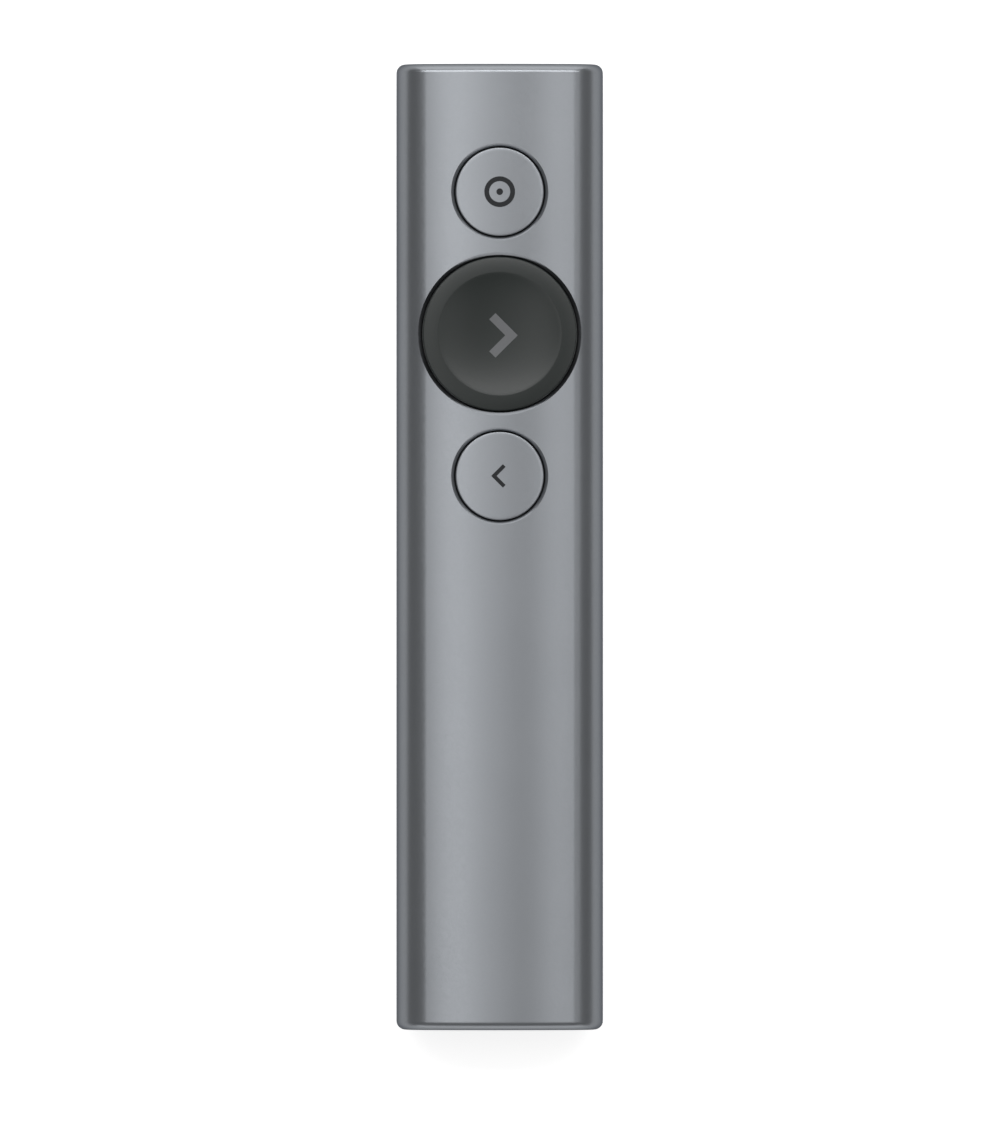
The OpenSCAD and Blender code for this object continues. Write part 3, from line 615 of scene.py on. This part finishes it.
class CLICKER_OT_symbols(bpy.types.Operator):
    """Build the printed symbols: a target ring and two chevrons"""

    bl_idname = "clicker.symbols"
    bl_label = "Symbols"

    def chevron(self, tip, reach, half, stroke, ink):
        """Mitre one arm of a chevron at its tip and mirror it."""
        long = sqrt(reach ** 2 + half ** 2)
        bm = bmesh.new()
        arm = bmesh.ops.create_cube(bm, size=1.0)["verts"]
        bmesh.ops.scale(bm, verts=arm, vec=(long + stroke, stroke, ink))
        along = [e for e in bm.edges if abs(e.verts[0].co.x - e.verts[1].co.x) > stroke]
        bmesh.ops.subdivide_edges(bm, edges=along, cuts=7)
        bmesh.ops.translate(bm, verts=bm.verts, vec=((long - stroke) / 2, 0, 0))
        lean = Vector((-reach, half)).angle_signed(Vector((1, 0)))
        bmesh.ops.rotate(bm, verts=bm.verts, matrix=Matrix.Rotation(lean, 3, "Z"))
        bmesh.ops.bisect_plane(bm, geom=bm.verts[:] + bm.edges[:] + bm.faces[:],
                               plane_co=(0, 0, 0), plane_no=(0, -1, 0), clear_outer=True)
        mirror(bm, "Y")
        bmesh.ops.recalc_face_normals(bm, faces=bm.faces)
        bmesh.ops.translate(bm, verts=bm.verts, vec=tip)
        return bm

    def execute(self, context):
        s = sizes()[0]
        c = context.scene.clicker_colours
        dark = pad_ink("pad_ink_dark", c.dark_ink[:])
        light = pad_ink("pad_ink_light", c.light_ink[:])
        half_ink = s.ink / 2
        top = POINTER[1][2] + half_ink

        bm = bmesh.new()
        dot, ring = (0.0, 0.45 * MM), (1.43 * MM, 2.09 * MM)
        for inner, outer in (dot, ring):
            section = [(inner, half_ink), (outer, half_ink), (outer, -s.ink), (inner, -s.ink)]
            if inner:
                section.append(section[0])
            turn(bm, [(r, top + h) for r, h in section], middle(POINTER), steps=64)
        follow_front(bm)
        piece(bm, "target_symbol", "pointer_button", dark, "anodised_tube")

        bm = self.chevron(tip=(-0.79 * MM, middle(BACK), top), reach=-1.41 * MM,
                          half=1.41 * MM, stroke=0.53 * MM, ink=s.ink)
        follow_front(bm)
        piece(bm, "back_symbol", "back_button", dark, "anodised_tube")

        y = middle(NEXT)
        foot = NEXT[1][2] - s.dish_depth
        bm = self.chevron(tip=(1.6 * MM, y - 0.2 * MM, foot + half_ink), reach=2.6 * MM,
                          half=2.6 * MM, stroke=1.2 * MM, ink=s.ink)
        bowl = bow(s.dish_radius, s.dish_depth)
        for v in bm.verts:
            v.co.z += bowl - sqrt(bowl ** 2 - v.co.x ** 2 - (v.co.y - y) ** 2)
        piece(bm, "next_symbol", "next_button", light, "key_plastic")
        return {"FINISHED"}


class CLICKER_OT_snap_domes(bpy.types.Operator):
    """Build the sprung steel domes under the keys"""

    bl_idname = "clicker.snap_domes"
    bl_label = "Snap domes"

    def execute(self, context):
        sheet = 0.1 * MM
        for name in ("pointer", "next", "back"):
            low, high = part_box(name + "_dome")
            y = (low[1] + high[1]) / 2
            radius, tall = (high[0] - low[0]) / 2, high[2] - low[2]
            ball = bow(radius, tall)
            bm = bmesh.new()
            crown = bm.verts.new((0, y, high[2]))
            bmesh.ops.spin(bm, geom=[crown], cent=(0, y, high[2] - ball), axis=(0, 1, 0),
                           angle=asin(radius / ball), steps=10)
            whirl(bm, bm.verts[:] + bm.edges[:], y, steps=48)
            if bm.faces[0].normal.z < 0:
                bmesh.ops.reverse_faces(bm, faces=bm.faces)
            bmesh.ops.solidify(bm, geom=bm.faces[:], thickness=sheet)
            dome = piece(bm, name + "_snap", "shell", stainless(), "steel_parts", name + "_dome")
            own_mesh(dome)
        return {"FINISHED"}


class CLICKER_OT_end_covers(bpy.types.Operator):
    """Build the nose cap and the bezel round the receiver's bay"""

    bl_idname = "clicker.end_covers"
    bl_label = "End covers"

    def execute(self, context):
        s, mid, _, _, _ = sizes()
        bm = bmesh.new()
        front = NOSE[1][1]
        oval(bm, front, s.cover_inset)
        back = draw_out(bm, bm.edges[:], (0, -s.cover_depth, 0))
        bmesh.ops.edgeloop_fill(bm, edges=back)
        bmesh.ops.edgeloop_fill(bm, edges=[e for e in bm.edges if e.is_boundary])
        bmesh.ops.recalc_face_normals(bm, faces=bm.faces)
        round_edges(bm, at_level("Y", front), s.edge_round)
        # Two pegs on the cap's back hold it to the plug behind it.
        peg_x, peg_radius = 4 * MM, 0.8 * MM
        for x in (-peg_x, peg_x):
            peg = bmesh.ops.create_cone(bm, cap_ends=True, segments=32, radius1=peg_radius,
                                        radius2=peg_radius, depth=s.cover_depth)["verts"]
            bmesh.ops.rotate(bm, verts=peg, matrix=Matrix.Rotation(pi / 2, 3, "X"))
            bmesh.ops.translate(bm, verts=peg, vec=(x, NOSE[0][1] + s.cover_depth / 2, mid))
        piece(bm, "nose_cover", "shell", trim_abs(), "end_trim", "nose_cap")

        bm = bmesh.new()
        front, tip = BEZEL[0][1], BEZEL[1][1]
        inner = slab(bm, s.opening_width, s.opening_height, s.opening_corner, front)
        bmesh.ops.delete(bm, geom=[inner], context="FACES_ONLY")
        around = bmesh.new()
        oval(around, front, s.cover_inset)
        outline = bpy.data.meshes.new("outline")
        around.to_mesh(outline)
        around.free()
        bm.from_mesh(outline)
        bpy.data.meshes.remove(outline)
        bmesh.ops.triangle_fill(bm, use_beauty=True, use_dissolve=False, edges=bm.edges[:])
        plate = bmesh.ops.extrude_face_region(bm, geom=bm.faces[:], use_keep_orig=True)["geom"]
        bmesh.ops.translate(bm, verts=points(plate), vec=(0, s.bezel_depth, 0))
        bmesh.ops.recalc_face_normals(bm, faces=bm.faces)
        round_edges(bm, at_level("Y", front), s.edge_round)
        # A leg on each side reaches into the tube and ends in a hook.
        leg_x, hook_x, hook, overlap = 9.55 * MM, 9.85 * MM, 0.7 * MM, 0.01 * MM
        half_leg, half_tall, root = 0.35 * MM, 1.2 * MM, front + s.bezel_depth - overlap
        for side in (-1, 1):
            for x, low in ((side * leg_x, root), (side * hook_x, tip - hook)):
                block(bm, (x - half_leg, low, mid - half_tall),
                      (x + half_leg, tip, mid + half_tall))
        piece(bm, "bay_bezel", "shell", trim_abs(), "end_trim", "tail_bezel")
        return {"FINISHED"}


class CLICKER_OT_receiver(bpy.types.Operator):
    """Build the receiver's end cap, its housing and its woven pull loop"""

    bl_idname = "clicker.receiver"
    bl_label = "Receiver"

    def execute(self, context):
        s = sizes()[0]
        width, height = HOUSING[1][0] - HOUSING[0][0], HOUSING[1][2] - HOUSING[0][2]
        front, seam, tip = CAP[0][1], HOUSING[0][1], HOUSING[1][1]

        bm = bmesh.new()
        face = slab(bm, width, height, s.stick_corner, front)
        rim = (height - s.recess_height) / 2
        loop_gap = 0.05 * MM
        squeeze = width / 2 - rim - LOOP[1][0] - loop_gap
        pocket(bm, face, rim, squeeze, s.recess_depth)
        open_edges = [e for e in bm.edges if e.is_boundary]
        back = draw_out(bm, open_edges, (0, seam - front, 0))
        tail = bmesh.ops.edgeloop_fill(bm, edges=back)["faces"][0]
        pocket(bm, tail, s.stick_wall + s.plug_gap, 0.0, CAP[1][1] - seam)
        bmesh.ops.recalc_face_normals(bm, faces=bm.faces)
        round_edges(bm, at_level("Y", front), s.edge_round)
        piece(bm, "receiver_cap", "receiver", trim_abs(), "end_trim", "receiver_end_cap")

        bm = bmesh.new()
        face = slab(bm, width, height, s.stick_corner, seam)
        rim, mouth_depth = s.stick_wall, 1 * MM
        floor = pocket(bm, face, rim, 0.0, tip - mouth_depth - seam)
        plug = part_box("receiver_plug_shell")
        slot_w = plug[1][0] - plug[0][0] + s.plug_gap
        slot_h = plug[1][2] - plug[0][2] + s.plug_gap
        lip = height / 2 - rim - slot_h / 2
        mouth = pocket(bm, floor, lip, width / 2 - rim - lip - slot_w / 2, mouth_depth)
        inner = mouth.edges[:]
        open_edges = [e for e in bm.edges if e.is_boundary]
        outer = draw_out(bm, open_edges, (0, tip - seam, 0))
        bmesh.ops.delete(bm, geom=[mouth], context="FACES_ONLY")
        bmesh.ops.bridge_loops(bm, edges=inner + outer)
        bmesh.ops.recalc_face_normals(bm, faces=bm.faces)
        round_edges(bm, at_level("Y", tip), s.edge_round)
        piece(bm, "receiver_body", "receiver", trim_abs(), "end_trim", "receiver_housing")

        bm = bmesh.new()
        thick, bend, worn = 0.7 * MM, 0.9 * MM, 0.15 * MM
        low, high = LOOP
        start = bm.verts.new((low[0] + thick / 2, high[1], low[2]))
        corner = bm.verts.new((low[0] + thick / 2, low[1] + bend, low[2]))
        bm.edges.new((start, corner))
        arc = bmesh.ops.spin(bm, geom=[corner], cent=(low[0] + bend, low[1] + bend, low[2]),
                             axis=(0, 0, 1), angle=pi / 2, steps=6)
        last = points(arc["geom_last"])[0]
        centre = bm.verts.new((0, low[1] + thick / 2, low[2]))
        bm.edges.new((last, centre))
        mirror(bm, "X")
        draw_out(bm, bm.edges[:], (0, 0, high[2] - low[2]))
        # The weave is laid out flat: along the strip, and then across it.
        uv = bm.loops.layers.uv.new("weave")
        for face in bm.faces:
            for loop in face.loops:
                p = loop.vert.co
                side = 1 if p.x > 0 else -1
                on_front = abs(p.x) < high[0] - bend
                loop[uv].uv = (p.x if on_front else side * (high[0] + p.y - low[1]), p.z)
        bmesh.ops.recalc_face_normals(bm, faces=bm.faces)
        strip = piece(bm, "pull_loop", "receiver", woven_nylon(), "pull_webbing",
                      "receiver_pull_loop", sharp=60)
        body = strip.modifiers.new("thickness", "SOLIDIFY")
        body.thickness, body.offset = thick, 0.0
        edge = strip.modifiers.new("edges", "BEVEL")
        edge.width, edge.segments = worn, 3
        edge.limit_method, edge.angle_limit = "ANGLE", 1.0
        return {"FINISHED"}


class CLICKER_OT_finishes(bpy.types.Operator):
    """Give each CAD node its finish, by the record's material slots"""

    bl_idname = "clicker.finishes"
    bl_label = "Finishes"

    def execute(self, context):
        black = linear("#1b1b1d")
        white = linear("#e2dfd6")
        finishes = {
            "anodised_tube": anodised(),
            "end_trim": trim_abs(),
            # ABS moulded in plain steel tools, hidden inside: a duller, coarser skin.
            "chassis_plastic": grained("abs_chassis_moulded", linear("#3f4145"), linear("#36383b"),
                                       (0.5, 0.62), 0.3, 0.004),
            "key_plastic": satin_abs(),
            "circuit_board": solder_mask(),
            # Epoxy moulding compound of the chips: near black with a fine eroded grain.
            "black_parts": grained("epoxy_moulding_compound", black, linear("#242426"),
                                   (0.48, 0.6), 0.12, 0.002),
            # Glass-filled nylon: off-white, with the filler's faint cloudiness.
            "white_parts": grained("nylon_glass_filled", white, linear("#d5d1c6"), (0.4, 0.5),
                                   0.2, 0.002, patch=3.0),
            "steel_parts": stainless(),
            # Black oxide on steel screws: a dark blued skin that keeps the metal's shine.
            "black_screws": drawn("steel_black_oxide", linear("#3a3b3e"), (0.34, 0.46), 0.12,
                                  0.0008),
            # Steel sheet plated with nickel: brighter and warmer, with folded-sheet lines.
            "plated_shells": drawn("nickel_plated_sheet", linear("#c9c6be"), (0.16, 0.3), 0.15,
                                   0.0008),
            # Hard gold over nickel: yellow, polished by the plug's wiping.
            "gold_contacts": drawn("gold_plated_bronze", linear("#e2b65a"), (0.14, 0.26), 0.1,
                                   0.0005),
            # Aluminium laminate of the cell: soft, slightly wrinkled foil.
            "cell_pouch": grained("foil_laminate_pouch", linear("#c4c6c9"), linear("#b4b6ba"),
                                  (0.26, 0.42), 1.6, 0.02, {"Metallic": 0.9}),
            # Silicone rubber: black, with a slight bloom.
            "motor_rubber": grained("silicone_rubber_moulded", linear("#2b2b2d"),
                                    linear("#343436"), (0.6, 0.75), 0.2, 0.003),
            # Drawn PVC insulation of the leads.
            "lead_insulation": grained("pvc_wire_insulation", linear("#8e2420"),
                                       linear("#7c1e1b"), (0.36, 0.46), 0.3, 0.002),
            "pull_webbing": woven_nylon(),
        }
        for part in frame["record"]["subparts"]:
            inside = frame["nodes"][part["node"]]
            if not inside.data.materials:
                inside.data.materials.append(None)
            for each in inside.material_slots:
                each.material = finishes[part["material_slot"]]
        return {"FINISHED"}


class CLICKER_OT_stage(bpy.types.Operator):
    """Lay the floor, hang the lamps and set up the camera"""

    bl_idname = "clicker.stage"
    bl_label = "Stage"

    def lamp(self, name, place, size, power):
        """Hang a soft box over the clicker, or stand it up at one end to face it."""
        light = bpy.data.lights.new(name, "AREA")
        light.shape, light.energy = "RECTANGLE", power
        light.size, light.size_y = size
        obj = bpy.data.objects.new(name, light)
        bpy.context.collection.objects.link(obj)
        obj.location = place
        if place[2] < abs(place[1]):
            obj.rotation_euler = (-pi / 2 if place[1] > 0 else pi / 2, 0, 0)
        obj.visible_camera = False

    def execute(self, context):
        # Coated paper: plain, pale and matt. It glows enough to be white to the eye, and
        # half as much to reflections, so that it doesn't wash out the metal.
        eye_glow, mirrored_glow = 0.7, 0.35
        paper = bpy.data.materials.new("paper_coated")
        paper.use_nodes = True
        tree = paper.node_tree
        tree.nodes.clear()
        matt = node(tree, "BsdfDiffuse", inputs={"Color": context.scene.clicker_colours.floor[:]})
        path = node(tree, "LightPath")
        seen = node(tree, "Math", {"operation": "ADD"},
                    {0: path.outputs["Is Glossy Ray"], 1: path.outputs["Is Transmission Ray"]})
        level = node(tree, "Math", {"operation": "MULTIPLY"},
                     {0: seen.outputs[0], 1: mirrored_glow})
        level = node(tree, "Math", {"operation": "MULTIPLY_ADD"},
                     {0: path.outputs["Is Camera Ray"], 1: eye_glow, 2: level.outputs[0]})
        glow = node(tree, "Emission", inputs={"Color": (1, 1, 1, 1),
                                              "Strength": level.outputs[0]})
        both = node(tree, "AddShader", inputs={0: matt.outputs[0], 1: glow.outputs[0]})
        node(tree, "OutputMaterial", inputs={"Surface": both.outputs[0]})
        floor_radius, floor_gap = 8.0, 0.01 * MM
        bm = bmesh.new()
        bmesh.ops.create_circle(bm, cap_ends=True, radius=floor_radius, segments=64)
        bmesh.ops.translate(bm, verts=bm.verts, vec=(0, 0, -floor_gap))
        piece(bm, "floor", None, paper, None)

        # Each lamp's place and size in metres, and its power in watts.
        for name, place, size, power in (
                ("left_box", (-0.24, 0.035, 0.8), (0.19, 0.60), 0.68),
                ("middle_box", (-0.036, 0.035, 0.8), (0.211, 0.60), 0.32),
                ("right_box", (0.305, 0.035, 0.8), (0.215, 0.60), 0.60),
                ("side_box", (0.70, 0.035, 0.8), (0.148, 0.60), 0.33),
                ("back_bar", (0.0, 0.40, 0.8), (1.34, 0.14), 4.4),
                ("window", (0.0, 0.8, 0.4), (1.4, 0.76), 4.5),
                ("low_panel", (0.0, -0.8, 0.22), (1.4, 0.42), 1.8)):
            self.lamp(name, place, size, power)

        world = bpy.data.worlds.new("studio")
        context.scene.world = world
        world.use_nodes = True
        world.node_tree.nodes["Background"].inputs["Color"].default_value = linear("#949494")

        # From 3 m above the body's middle, the camera's view is 152.8 mm tall.
        middle_x, middle_y, middle_z = 0.04 * MM, -1.97 * MM, 6 * MM
        distance, sensor, view = 3.0, 36, 152.8 * MM
        camera = bpy.data.objects.new("camera", bpy.data.cameras.new("camera"))
        context.collection.objects.link(camera)
        camera.location = (middle_x, middle_y, distance + middle_z)
        camera.data.lens = sensor * distance / view
        camera.data.sensor_width = sensor
        camera.data.clip_start = 0.01
        context.scene.camera = camera
        context.scene.view_settings.view_transform = "Standard"
        return {"FINISHED"}


OPERATORS = (CLICKER_OT_tube, CLICKER_OT_small_keys, CLICKER_OT_large_key, CLICKER_OT_symbols,
             CLICKER_OT_snap_domes, CLICKER_OT_end_covers, CLICKER_OT_receiver,
             CLICKER_OT_finishes, CLICKER_OT_stage)


class CLICKER_PT_pieces(bpy.types.Panel):
    """List the clicker's sizes, colours and operators"""

    bl_idname = "CLICKER_PT_pieces"
    bl_label = "Clicker"
    bl_space_type = "VIEW_3D"
    bl_region_type = "UI"
    bl_category = "Clicker"

    def draw(self, context):
        for values in (context.scene.clicker_sizes, context.scene.clicker_colours):
            for name in values.__annotations__:
                self.layout.prop(values, name)
        for operator in OPERATORS:
            self.layout.operator(operator.bl_idname)


CLASSES = (ClickerSizes, ClickerColours) + OPERATORS + (CLICKER_PT_pieces,)


def register():
    for each in CLASSES:
        bpy.utils.register_class(each)
    bpy.types.Scene.clicker_sizes = PointerProperty(type=ClickerSizes)
    bpy.types.Scene.clicker_colours = PointerProperty(type=ClickerColours)


def unregister():
    del bpy.types.Scene.clicker_colours
    del bpy.types.Scene.clicker_sizes
    for each in reversed(CLASSES):
        bpy.utils.unregister_class(each)


def main():
    register()
    for operator in OPERATORS:
        getattr(bpy.ops.clicker, operator.bl_idname.split(".")[1])()


if __name__ == "__main__":
    main()
